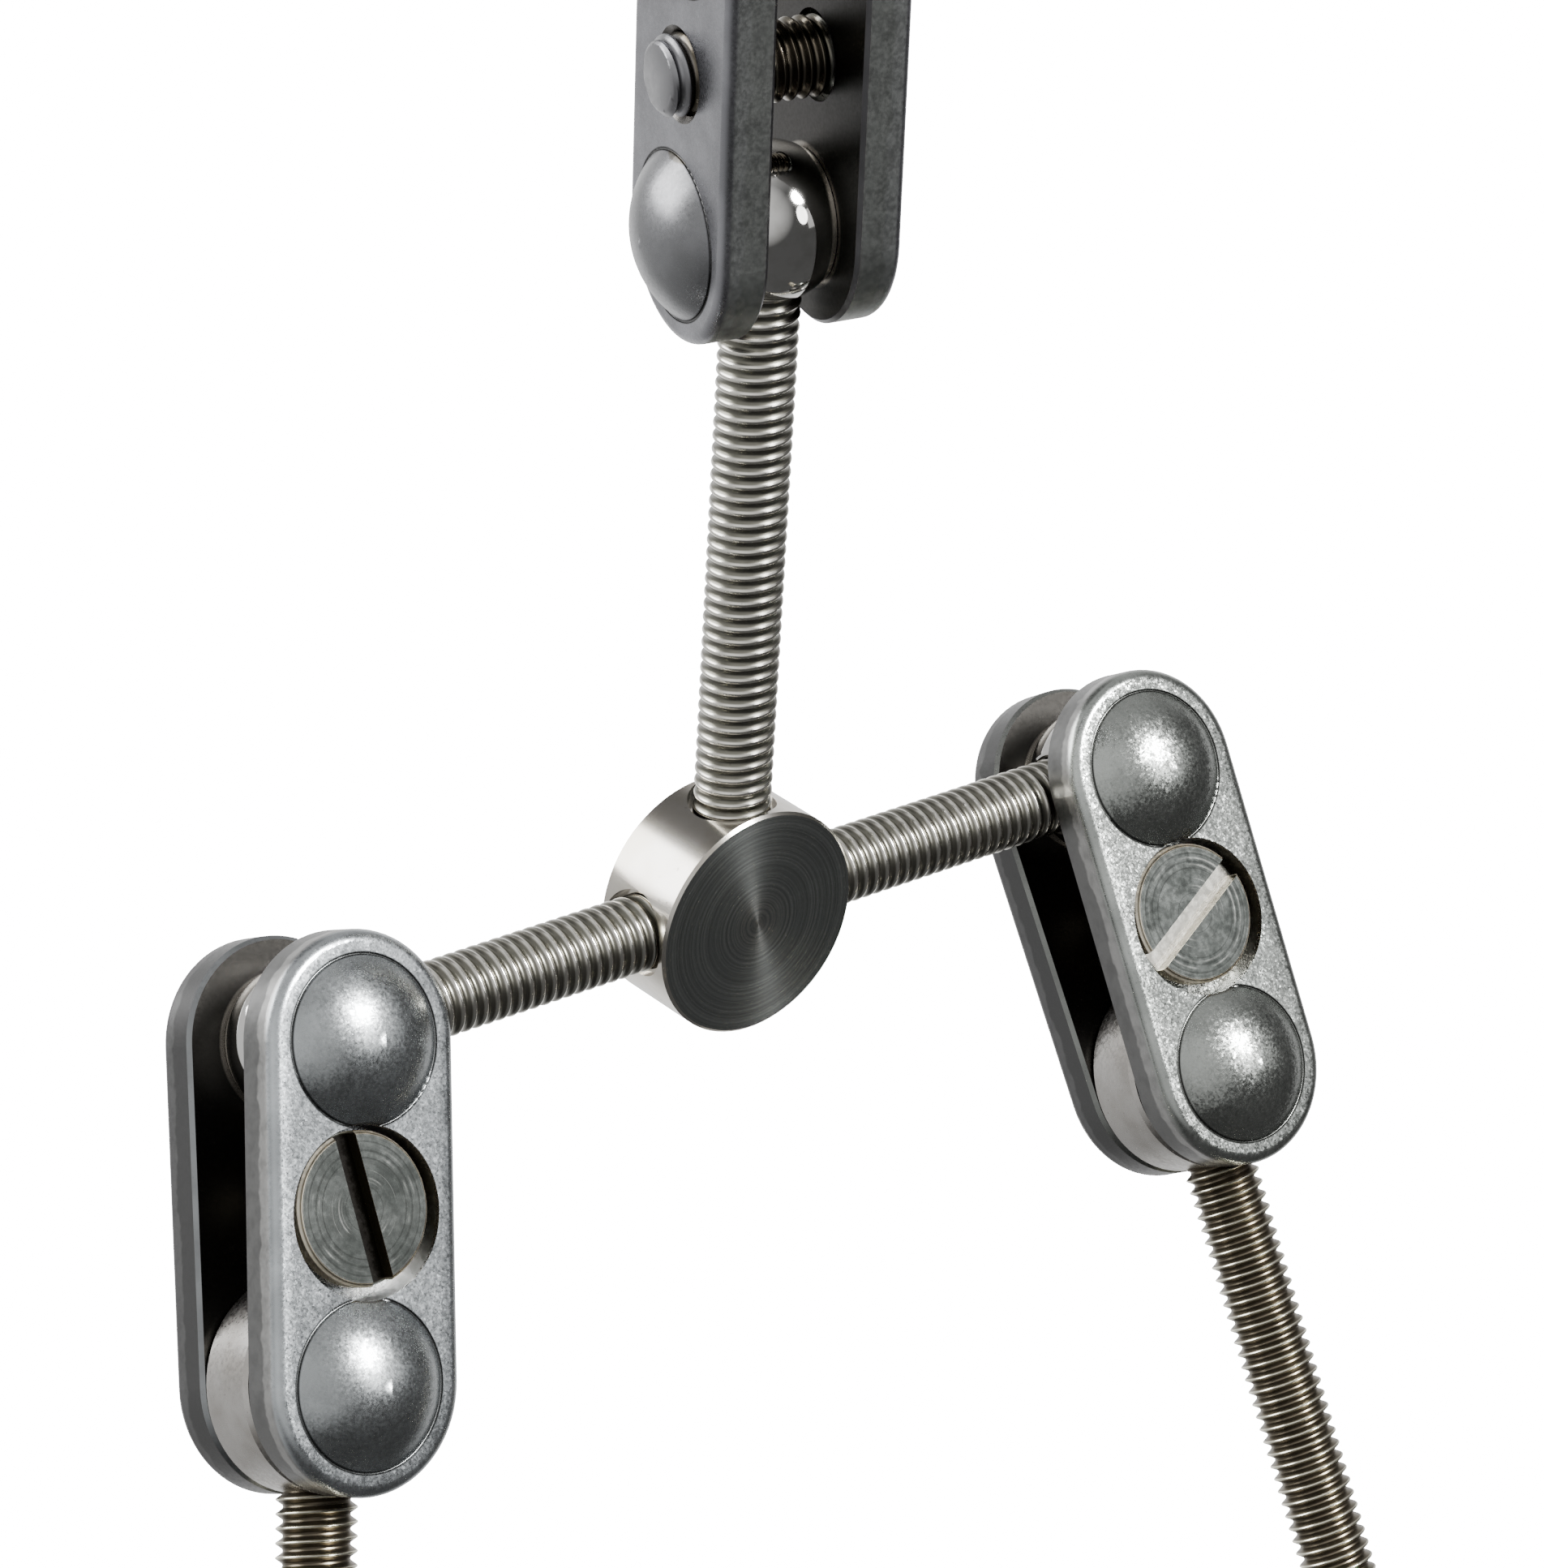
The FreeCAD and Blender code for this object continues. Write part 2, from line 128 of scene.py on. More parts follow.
class Nodes:
    """Small wrapper that builds a material's node tree with short calls."""

    def __init__(self, name):
        self.material = bpy.data.materials.new(name)
        self.material.use_nodes = True
        self.tree = self.material.node_tree
        self.shader = self.tree.nodes["Principled BSDF"]
        self.coords = self.tree.nodes.new("ShaderNodeTexCoord")
        self.position = self.coords.outputs["Object"]
        self.normal = self.coords.outputs["Normal"]
        self.world_normal = self.tree.nodes.new("ShaderNodeNewGeometry").outputs["Normal"]

    def link(self, source, target):
        if hasattr(source, "is_output"):
            self.tree.links.new(source, target)
        else:
            target.default_value = source

    def math(self, operation, *values, clamp=False):
        node = self.tree.nodes.new("ShaderNodeMath")
        node.operation = operation
        node.use_clamp = clamp
        for socket, value in zip(node.inputs, values):
            self.link(value, socket)
        return node.outputs[0]

    def vector(self, operation, *values):
        node = self.tree.nodes.new("ShaderNodeVectorMath")
        node.operation = operation
        for socket, value in zip(node.inputs, values):
            self.link(value, socket)
        is_number = operation in ("DOT_PRODUCT", "LENGTH", "DISTANCE")
        return node.outputs["Value" if is_number else "Vector"]

    def noise(self, scale, detail=2.0, rough=0.5):
        """Noise in object space; its features are about 1 / scale metres across."""
        node = self.tree.nodes.new("ShaderNodeTexNoise")
        node.inputs["Scale"].default_value = scale
        node.inputs["Detail"].default_value = detail
        node.inputs["Roughness"].default_value = rough
        self.link(self.position, node.inputs["Vector"])
        return node.outputs[0]

    def line_noise(self, value, scale, detail=2.0):
        """Noise along one number, such as a radius."""
        node = self.tree.nodes.new("ShaderNodeTexNoise")
        node.noise_dimensions = "1D"
        node.inputs["Scale"].default_value = scale
        node.inputs["Detail"].default_value = detail
        self.link(value, node.inputs["W"])
        return node.outputs[0]

    def facets(self, scale, amount, normal=None):
        """Tilt the normal by a random little step in each cell, like a tumbled surface."""
        node = self.tree.nodes.new("ShaderNodeTexVoronoi")
        node.inputs["Scale"].default_value = scale
        self.link(self.position, node.inputs["Vector"])
        tilt = self.vector("SUBTRACT", node.outputs["Color"], (0.5, 0.5, 0.5))
        base = self.world_normal if normal is None else normal
        return self.vector("NORMALIZE", self.vector("ADD", base, self.scaled(tilt, amount)))

    def scaled(self, vector, amount):
        node = self.tree.nodes.new("ShaderNodeVectorMath")
        node.operation = "SCALE"
        self.link(vector, node.inputs[0])
        self.link(amount, node.inputs["Scale"])
        return node.outputs[0]

    def to_world(self, vector):
        node = self.tree.nodes.new("ShaderNodeVectorTransform")
        node.vector_type = "VECTOR"
        node.convert_from = "OBJECT"
        node.convert_to = "WORLD"
        self.link(vector, node.inputs[0])
        return node.outputs[0]

    def spread(self, value, low, high, to_low=0.0, to_high=1.0):
        node = self.tree.nodes.new("ShaderNodeMapRange")
        node.interpolation_type = "SMOOTHSTEP"
        for name, number in zip(("Value", "From Min", "From Max", "To Min", "To Max"),
                                (value, low, high, to_low, to_high)):
            self.link(number, node.inputs[name])
        return node.outputs["Result"]

    def mix(self, factor, first, second):
        node = self.tree.nodes.new("ShaderNodeMix")
        node.data_type = "RGBA"
        self.link(factor, node.inputs["Factor"])
        for socket, colour in ((node.inputs["A"], first), (node.inputs["B"], second)):
            self.link(colour if hasattr(colour, "is_output") else (*colour, 1.0), socket)
        return node.outputs["Result"]

    def bump(self, height, strength, distance, normal=None):
        node = self.tree.nodes.new("ShaderNodeBump")
        node.inputs["Strength"].default_value = strength
        node.inputs["Distance"].default_value = distance
        self.link(height, node.inputs["Height"])
        if normal is not None:
            self.link(normal, node.inputs["Normal"])
        return node.outputs["Normal"]

    def finish(self, colour, roughness, normal=None):
        self.link(colour, self.shader.inputs["Base Color"])
        self.shader.inputs["Metallic"].default_value = 1.0
        self.link(roughness, self.shader.inputs["Roughness"])
        if normal is not None:
            self.link(normal, self.shader.inputs["Normal"])
        return self.material


# --- materials ----------------------------------------------------------------------------

def distances(n, centre, axis):
    """Distance from an axis and the height along it."""
    offset = n.vector("SUBTRACT", n.position, centre)
    along = n.vector("DOT_PRODUCT", offset, axis)
    length = n.vector("LENGTH", offset)
    square = n.math("SUBTRACT", n.math("MULTIPLY", length, length),
                    n.math("MULTIPLY", along, along))
    return n.math("SQRT", n.math("MAXIMUM", square, 0.0)), along


def outline_spoke(n, near, along, axis):
    """Vector from the plate's centre line straight out towards its outline."""
    offset = n.vector("SUBTRACT", n.position, near)
    travel = n.math("MAXIMUM", n.vector("DOT_PRODUCT", offset, along), 0.0)
    travel = n.math("MINIMUM", travel, PLATE_PITCH)
    spoke = n.vector("SUBTRACT", offset, n.scaled(tuple(along), travel))
    rise = n.vector("DOT_PRODUCT", spoke, axis)
    return n.vector("SUBTRACT", spoke, n.scaled(tuple(axis), rise))


def plate_material(name, near, along, axis, look, side_tones):
    """Tumbled steel: sparkling faces, sides with a smooth outer band over a darker sheared one."""
    tint, grain, wear = look
    n = Nodes(name)
    offset = n.vector("SUBTRACT", n.position, near)
    across = n.math("ABSOLUTE", n.vector("DOT_PRODUCT", offset, axis))
    facing = n.math("ABSOLUTE", n.vector("DOT_PRODUCT", n.normal, axis))
    side = n.math("MULTIPLY", n.spread(facing, 0.45, 0.15),
                  n.spread(across, PLATE_FACE - 0.05 * MM, PLATE_FACE - 0.4 * MM))
    to_ball = n.math("MINIMUM", n.vector("DISTANCE", n.position, near),
                     n.vector("DISTANCE", n.position, near + along * PLATE_PITCH))
    socket = n.spread(to_ball, SOCKET_RADIUS + 0.15 * MM, SOCKET_RADIUS)
    ring = n.math("SQRT", n.math("SUBTRACT", n.math("MULTIPLY", to_ball, to_ball),
                                 n.math("MULTIPLY", across, across)))
    from_groove = n.math("ABSOLUTE", n.math("SUBTRACT", ring, DOME_RADIUS))
    shaded_groove = n.math("MULTIPLY", n.spread(from_groove, 0.15 * MM, 0.06 * MM),
                    n.spread(across, PLATE_FACE - 0.3 * MM, PLATE_FACE - 0.2 * MM))
    dome = n.spread(across, PLATE_FACE + 0.02 * MM, PLATE_FACE + 0.15 * MM)
    from_screw = distances(n, near + along * PLATE_PITCH / 2, axis)[0]
    recess_shade = n.math("MULTIPLY", n.spread(from_screw, COUNTERBORE_RADIUS + 0.15 * MM,
                                         COUNTERBORE_RADIUS + 0.05 * MM),
                    n.spread(facing, 0.9, 0.6))
    inside = n.math("MULTIPLY", n.spread(facing, 0.6, 0.8),
                    n.spread(across, PLATE_INNER + 0.6 * MM, PLATE_INNER + 0.3 * MM))

    clouds = n.noise(380, 4.0)
    specks = n.noise(5200, 3.0, rough=0.7)
    low = tuple(0.84 * part for part in tint)
    high = tuple(1.16 * part for part in tint)
    shade = n.mix(n.spread(clouds, 0.32, 0.70), low, high)
    # painted shade: the domes are mixed towards dark grey, a darker copy of the face steel
    shade = n.mix(n.spread(dome, 0.0, 1.0, 0.0, 0.30), shade, (0.14, 0.145, 0.13))
    shade = n.mix(n.spread(specks, 0.42, 0.25, 0.0, 3.0 * grain), shade, (0.17, 0.18, 0.17))
    # painted shade: the fine groove round each dome is darkened almost to black
    shade = n.mix(n.math("MULTIPLY", shaded_groove, 0.85), shade, (0.03, 0.03, 0.028))
    wander = n.math("MULTIPLY", n.math("SUBTRACT", n.noise(900, 2.0), 0.5), 0.9 * MM)
    band = n.spread(n.math("ADD", across, wander), SHEAR_LINE - 0.1 * MM, SHEAR_LINE + 0.1 * MM)
    drawn = n.noise(1300, 3.0)
    side_shade = n.mix(band, side_tones[0], side_tones[1])
    side_shade = n.mix(n.spread(drawn, 0.62, 0.25, 0.0, 0.35), side_shade, (0.08, 0.08, 0.08))
    shade = n.mix(side, shade, side_shade)
    # painted shade: the counterbore wall round the screw head is darkened
    shade = n.mix(recess_shade, shade, (0.10, 0.09, 0.072))
    # painted shade: the plates' inner faces, in the gap between the plates, are darkened almost to black
    shade = n.mix(inside, shade, (0.04, 0.038, 0.035))
    shade = n.mix(socket, shade, (0.30, 0.28, 0.25))

    polish = 0.31 - 0.35 * grain
    roughness = n.spread(specks, 0.3, 0.7, polish - 0.04, polish + 0.05)
    roughness = n.math("SUBTRACT", roughness, n.math("MULTIPLY", socket, 0.10))
    dull = n.math("MAXIMUM", side, inside)
    roughness = n.math("ADD", roughness, n.math("MULTIPLY", dull, 0.10))
    closed = n.math("MAXIMUM", n.math("MAXIMUM", side, socket),
                    n.math("MAXIMUM", inside, shaded_groove))
    open_face = n.math("SUBTRACT", 1.0, closed)
    spoke = outline_spoke(n, near, along, axis)
    outline = n.vector("LENGTH", spoke)
    outward = n.to_world(n.vector("NORMALIZE", spoke))
    flat = n.math("MULTIPLY", open_face, n.math("SUBTRACT", 1.0, dome))
    worn = n.spread(outline, PLATE_HALF_WIDTH - 1.45 * MM, PLATE_HALF_WIDTH - 0.05 * MM, 0.0, wear)
    tilt = n.math("MULTIPLY", flat, worn)
    normal = n.vector("NORMALIZE", n.vector("ADD", n.world_normal, n.scaled(outward, tilt)))
    grains = n.math("MULTIPLY", open_face, n.spread(dome, 0.0, 1.0, grain, 0.7 * grain))
    grains = n.math("MULTIPLY", grains, n.spread(outline, PLATE_HALF_WIDTH - 0.4 * MM,
                                                 PLATE_HALF_WIDTH - 0.6 * MM))
    normal = n.facets(10500, grains, normal)
    normal = n.facets(4300, n.math("MULTIPLY", grains, 0.45), normal)
    normal = n.bump(drawn, 0.25, 0.012 * MM, normal)
    return n.finish(shade, roughness, normal)


def chrome_material():
    """Mirror-polished ball steel with faint wear."""
    n = Nodes("ball_chrome")
    wear = n.noise(900, 3.0)
    colour = n.mix(n.spread(wear, 0.4, 0.75), (0.74, 0.73, 0.71), (0.62, 0.61, 0.58))
    roughness = n.spread(wear, 0.35, 0.8, 0.04, 0.10)
    return n.finish(colour, roughness)


def rod_material(name, origin, axis, lit_crest, shaded_groove, shine):
    """Threaded steel: crests painted light, as wear and as painted highlight, over stained grooves painted dark as
    painted shade.
    """
    n = Nodes(name)
    radius = distances(n, origin, axis)[0]
    top = n.spread(radius, THREAD_RADIUS - 0.10 * MM, THREAD_RADIUS - 0.03 * MM)
    stain = n.noise(650, 4.0)
    low = n.mix(n.spread(stain, 0.35, 0.72), shaded_groove, tuple(0.7 * part for part in shaded_groove))
    # painted highlight on the crests and painted shade in the grooves
    colour = n.mix(top, low, lit_crest)
    specks = n.noise(4200, 2.0)
    colour = n.mix(n.spread(specks, 0.30, 0.22, 0.0, 0.5), colour, (0.10, 0.09, 0.08))
    roughness = n.spread(top, 0.0, 1.0, shine + 0.12, shine)
    return n.finish(colour, roughness)


def hub_material():
    """Turned face, dark with fine tool marks that fan the light and a painted highlight round the centre, and a
    bright polished rim.
    """
    n = Nodes("hub_steel")
    radius = distances(n, hub_centre, Y_AXIS)[0]
    face = n.spread(n.math("ABSOLUTE", n.vector("DOT_PRODUCT", n.normal, Y_AXIS)), 0.8, 0.97)
    marks = n.line_noise(radius, 7000, 3.0)
    wide_marks = n.line_noise(radius, 1500, 1.0)
    dark = n.mix(n.spread(marks, 0.3, 0.7), (0.36, 0.38, 0.365), (0.48, 0.50, 0.485))
    dark = n.mix(n.spread(wide_marks, 0.35, 0.65, 0.0, 0.35), dark, (0.28, 0.295, 0.285))
    centre_highlight = n.spread(radius, 2.6 * MM, 0.3 * MM, 0.0, 0.55)
    # painted highlight: the rings near the centre of the face are mixed towards a pale colour
    dark = n.mix(n.math("MULTIPLY", centre_highlight, n.spread(marks, 0.35, 0.6)), dark,
                 (0.60, 0.585, 0.545))
    blotch = n.noise(260, 4.0)
    rim = n.mix(n.spread(blotch, 0.35, 0.68), (0.68, 0.65, 0.60), (0.56, 0.52, 0.445))
    pits = n.spread(n.noise(2400, 2.0), 0.30, 0.22, 0.0, 0.6)
    rim = n.mix(pits, rim, (0.25, 0.23, 0.20))
    colour = n.mix(face, rim, dark)
    roughness = n.spread(face, 0.0, 1.0, 0.17, 0.24)
    normal = n.bump(n.math("MULTIPLY", marks, face), 0.20, 0.006 * MM)
    tangent = n.tree.nodes.new("ShaderNodeTangent")
    tangent.direction_type = "RADIAL"
    tangent.axis = "Y"
    n.link(tangent.outputs[0], n.shader.inputs["Tangent"])
    n.link(n.math("MULTIPLY", face, 0.8), n.shader.inputs["Anisotropic"])
    n.shader.inputs["Anisotropic Rotation"].default_value = 0.25
    return n.finish(colour, roughness, normal)


def screw_material(name, centre, axis, top, slot_light_and_shade):
    """Plated screw: faint turning rings on the head with painted highlights along arcs, a painted highlight on the
    bevelled edge, painted shade in the slot and on the shank, and a slot floor painted with its own level of light
    and shade.
    """
    n = Nodes(name)
    radius, along = distances(n, centre, axis)
    facing = n.math("ABSOLUTE", n.vector("DOT_PRODUCT", n.normal, axis))
    head = n.spread(along, SCREW_HEAD_BASE - 0.2 * MM, SCREW_HEAD_BASE)
    edge = n.math("MULTIPLY", head, n.spread(facing, 0.97, 0.85))
    marks = n.line_noise(radius, 5200, 2.0)
    stain = n.noise(600, 3.0)
    colour = n.mix(n.spread(stain, 0.35, 0.7), (0.19, 0.203, 0.192), (0.11, 0.12, 0.112))
    arc_highlights = n.math("MULTIPLY", n.spread(marks, 0.55, 0.68),
                  n.spread(n.noise(450, 2.0), 0.42, 0.62))
    # painted highlight: pale arcs along the turning rings
    colour = n.mix(n.math("MULTIPLY", arc_highlights, 0.75), colour, (0.48, 0.49, 0.46))
    colour = n.mix(n.spread(marks, 0.42, 0.30, 0.0, 0.6), colour, (0.07, 0.076, 0.07))
    # painted highlight: the bevelled edge of the head is painted pale gold
    colour = n.mix(edge, colour, (0.88, 0.82, 0.68))
    within = n.spread(radius, SCREW_HEAD_RADIUS - 0.05 * MM, SCREW_HEAD_RADIUS - 0.15 * MM)
    slot_shade = n.math("MULTIPLY", within, n.spread(along, top - 0.02 * MM, top - 0.06 * MM))
    # painted shade: the slot inside the head is darkened to a dark gold
    colour = n.mix(n.math("MULTIPLY", slot_shade, head), colour, (0.10, 0.085, 0.05))
    floor = n.math("MULTIPLY", slot_shade, n.spread(facing, 0.8, 0.95))
    # painted light and shade: the slot floor takes each screw's own painted level
    colour = n.mix(n.math("MULTIPLY", floor, head), colour, slot_light_and_shade)
    shank = n.spread(along, SCREW_HEAD_BASE - 0.8 * MM, SCREW_HEAD_BASE - 1.2 * MM)
    # painted shade: the shank under the head, between the plates, is darkened
    colour = n.mix(shank, colour, (0.13, 0.115, 0.09))
    tip = n.spread(along, -SCREW_TIP + 1.3 * MM, -SCREW_TIP + 1.0 * MM)
    colour = n.mix(tip, colour, (0.24, 0.24, 0.25))
    roughness = n.spread(n.noise(3000, 3.0), 0.3, 0.7, 0.17, 0.25)
    roughness = n.math("ADD", roughness, n.math("MULTIPLY", tip, 0.12))
    roughness = n.math("ADD", roughness, n.math("MULTIPLY", edge, 0.22))
    normal = n.facets(9000, n.math("MULTIPLY", head, 0.025))
    normal = n.bump(marks, 0.10, 0.003 * MM, normal)
    return n.finish(colour, roughness, normal)


def knuckle_material():
    """Light satin steel with faint warm blotches."""
    n = Nodes("knuckle_steel")
    blotch = n.noise(420, 5.0)
    colour = n.mix(n.spread(blotch, 0.33, 0.68), (0.50, 0.485, 0.465), (0.38, 0.36, 0.335))
    grain = n.noise(5000, 3.0)
    colour = n.mix(n.spread(grain, 0.32, 0.22, 0.0, 0.6), colour, (0.18, 0.16, 0.14))
    roughness = n.spread(grain, 0.3, 0.7, 0.26, 0.36)
    return n.finish(colour, roughness, n.bump(grain, 0.12, 0.008 * MM))


# --- mesh helpers -------------------------------------------------------------------------

def axis_matrix(origin, axis):
    """Matrix that takes local +Z to the given axis and the local origin to the given point."""
    turn = Z_AXIS.rotation_difference(axis.normalized())
    return Matrix.Translation(origin) @ turn.to_matrix().to_4x4()


def new_piece(name, mesh_builder, matrix, body, cad_nodes, material):
    mesh = bpy.data.meshes.new(name)
    mesh_builder.transform(matrix)
    bmesh.ops.recalc_face_normals(mesh_builder, faces=mesh_builder.faces)
    mesh_builder.to_mesh(mesh)
    mesh_builder.free()
    carried = mesh.attributes.get("custom_normal")
    if carried is not None:
        mesh.attributes.remove(carried)
    piece = bpy.data.objects.new(name, mesh)
    bpy.context.scene.collection.objects.link(piece)
    mesh.materials.append(material)
    smooth_by_angle(piece)
    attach(piece, body)
    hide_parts(*cad_nodes)
    return piece


def smooth_by_angle(piece, degrees=32):
    """Smooth shading with sharp edges where the faces meet at more than the angle."""
    piece.data.shade_smooth()
    piece.data.set_sharp_from_angle(angle=math.radians(degrees))


def thread_radius(z, radius, start, end):
    """Radius of the thread at height z, held inside the bevels of both ends."""
    nearest = min(z - start, end - z)
    return min(radius, THREAD_RADIUS - END_BEVEL + nearest)


def thread_profile(depth, crest_half):
    """(share of the pitch, radius) pairs of a thread with a thin rounded crest."""
    falls = ((0.0, 1.0), (0.12, 0.92), (0.26, 0.55), (0.5 - crest_half, 0.12),
             (0.5 - crest_half / 2, 0.03), (0.5, 0.0), (0.5 + crest_half / 2, 0.03),
             (0.5 + crest_half, 0.12), (0.74, 0.55), (0.88, 0.92))
    return [(share, THREAD_RADIUS - THREAD_CLEARANCE - depth * fall) for share, fall in falls]


def add_thread(bm, start, end, profile, turn_offset=0.0):
    """Closed helical thread along +Z from start to end; the offset is a share of a pitch."""
    turns = math.ceil((end - start) / THREAD_PITCH) + 2
    core = THREAD_RADIUS - END_BEVEL - CORE_DROP
    columns = []
    for step in range(THREAD_STEPS):
        angle = 2 * math.pi * step / THREAD_STEPS
        lead = THREAD_PITCH * (step / THREAD_STEPS + turn_offset - 1)
        column = []
        for turn in range(turns):
            for share, radius in profile:
                z = start + lead + THREAD_PITCH * (turn + share)
                inside = start < z < end
                z = min(max(z, start), end)
                r = thread_radius(z, radius, start, end) if inside else core
                column.append(bm.verts.new((r * math.cos(angle), r * math.sin(angle), z)))
        columns.append(column)
    rows = len(columns[0])
    for step in range(THREAD_STEPS):
        wraps = step == THREAD_STEPS - 1
        here = columns[step]
        there = columns[0] if wraps else columns[step + 1]
        shift = len(profile) if wraps else 0
        for row in range(rows - 1 - shift):
            bm.faces.new((here[row], there[row + shift], there[row + shift + 1], here[row + 1]))
    bmesh.ops.remove_doubles(bm, verts=bm.verts[:], dist=THREAD_WELD)
    open_edges = [edge for edge in bm.edges if edge.is_boundary]
    bmesh.ops.holes_fill(bm, edges=open_edges, sides=0)


def lathe(profile, segments):
    """Closed solid of revolution about +Z from (radius, height) pairs in mm."""
    bm = bmesh.new()
    rings = []
    for radius, z in profile:
        if radius == 0:
            rings.append([bm.verts.new((0, 0, z * MM))])
            continue
        ring = []
        for step in range(segments):
            angle = 2 * math.pi * step / segments
            corner = (radius * MM * math.cos(angle), radius * MM * math.sin(angle), z * MM)
            ring.append(bm.verts.new(corner))
        rings.append(ring)
    for lower, upper in zip(rings, rings[1:]):
        for step in range(segments):
            following = (step + 1) % segments
            corners = [lower[step % len(lower)], lower[following % len(lower)],
                       upper[following % len(upper)], upper[step % len(upper)]]
            unique = list(dict.fromkeys(corners))
            if len(unique) > 2:
                bm.faces.new(unique)
    return bm


# --- rods ---------------------------------------------------------------------------------

CHROME = chrome_material()
HUB = hub_material()
KNUCKLE = knuckle_material()

# Thread profile, crest colour (wear and painted highlight), groove colour (stain and painted shade) and roughness
# of the crests
ROLLED = (thread_profile(0.15 * MM, 0.11), (0.82, 0.80, 0.73), (0.19, 0.185, 0.155), 0.18)
SHARP = (thread_profile(0.36 * MM, 0.09), (0.86, 0.83, 0.68), (0.15, 0.13, 0.095), 0.20)


def threaded_rod(name, origin, axis, start, end, body, kind, offset=0.0):
    profile, lit_crest, shaded_groove, shine = kind
    bm = bmesh.new()
    add_thread(bm, start, end, profile, offset)
    steel = rod_material(f"{name}_steel", origin, axis, lit_crest, shaded_groove, shine)
    new_piece(f"{name}_thread", bm, axis_matrix(origin, axis), body, (name,), steel)


hip_reach = abs(joint_point("left_hip_twist").x)
spine_reach = joint_point("spine_twist").z
threaded_rod("left_rod", hub_centre, -X_AXIS, ROD_INNER_END, hip_reach + ROD_STOP, "hub", ROLLED)
threaded_rod("right_rod", hub_centre, X_AXIS, ROD_INNER_END, hip_reach + ROD_STOP, "hub",
             ROLLED, 0.4)
threaded_rod("top_rod", hub_centre, Z_AXIS, ROD_INNER_END, spine_reach + ROD_STOP, "hub",
             ROLLED, 0.7)
threaded_rod("spine_upper_rod", joint_point("spine_upper_twist"), Z_AXIS,
             -ROD_STOP, UPPER_ROD_END, "spine_upper_rod", ROLLED)
for side in ("left", "right"):
    leg_axis = Vector(mounts[f"{side}_leg_rod_end"]["axis"])
    threaded_rod(f"{side}_leg_rod", joint_point(f"{side}_leg_swing"), leg_axis,
                 KNUCKLE_SEAT, LEG_ROD_END, f"{side}_leg", SHARP)

# --- balls --------------------------------------------------------------------------------


def ball_profile():
    """Half outline of the ball: bore wall, flat with a soft rim, sphere, closed pole."""
    rim = math.sqrt(BALL_RADIUS ** 2 - BALL_FLAT ** 2)
    outline = [(0, BORE_FLOOR), (BALL_BORE, BORE_FLOOR), (BALL_BORE, BALL_FLAT - BORE_CHAMFER),
               (BALL_BORE + BORE_CHAMFER, BALL_FLAT), (rim - FLAT_EASE, BALL_FLAT)]
    first = math.acos(BALL_FLAT / BALL_RADIUS)
    for step in range(BALL_STEPS + 1):
        angle = first + (math.pi - first) * step / BALL_STEPS
        outline.append((BALL_RADIUS * math.sin(angle), BALL_RADIUS * math.cos(angle)))
    outline[-1] = (0, -BALL_RADIUS)
    return outline


for name, joint, rod_side in (
    ("left_ball", "left_hip_twist", X_AXIS),
    ("right_ball", "right_hip_twist", -X_AXIS),
    ("spine_lower_ball", "spine_twist", -Z_AXIS),
    ("spine_upper_ball", "spine_upper_twist", Z_AXIS),
):
    matrix = axis_matrix(joint_point(joint), rod_side)
    piece = new_piece(f"{name}_polished", lathe(ball_profile(), BALL_SEGMENTS), matrix,
                      name, (name,), CHROME)
    smooth_by_angle(piece, BALL_SHARP_ANGLE)

# --- carried-over solids ------------------------------------------------------------------


def dress_node(name, material):
    node = frame["nodes"][name]
    node.data.materials.clear()
    node.data.materials.append(material)


FACES = {  # tint, how grainy the tumbled surface is, how far its outline is worn down
    "left": ((0.46, 0.485, 0.50), 0.10, 0.17),
    "right": ((0.41, 0.43, 0.41), 0.19, 0.17),
    # the spine's tint is painted darker than the hip plates' same steel: painted shade
    "spine": ((0.26, 0.26, 0.278), 0.03, 0.02),
}
SIDE_TONES = {  # sheared band, smooth band
    "head_plate": ((0.17, 0.17, 0.168), (0.36, 0.358, 0.35)),
    # the tapped plate's and the spine's side tones differ from the head plate's by painted shade and painted light
    # on the same steel
    "tapped_plate": ((0.085, 0.085, 0.085), (0.14, 0.14, 0.14)),
    "spine": ((0.25, 0.26, 0.25), (0.29, 0.30, 0.295)),
}

dress_node("hub", HUB)
for side in ("left", "right", "spine"):
    swing = f"{side}_hip_swing" if side != "spine" else "spine_swing"
    centre = joint_point(swing)
    axis = joint_axis(swing)
    far = joint_point("spine_upper_swing" if side == "spine" else f"{side}_leg_swing")
    reach = (far - centre).normalized()
    lean = 0.0 if side == "spine" else HIP_LEAN
    for plate, outer in (("head_plate", axis), ("tapped_plate", -axis)):
        along = reach * math.cos(lean) - outer * math.sin(lean)
        face_axis = outer * math.cos(lean) + reach * math.sin(lean)
        tones = SIDE_TONES.get(side, SIDE_TONES[plate])
        steel = plate_material(f"{side}_{plate}_steel", centre, along, face_axis,
                               FACES[side], tones)
        dress_node(f"{side}_{plate}", steel)
for side in ("left", "right"):
    dress_node(f"{side}_knuckle", KNUCKLE)

# --- screws -------------------------------------------------------------------------------


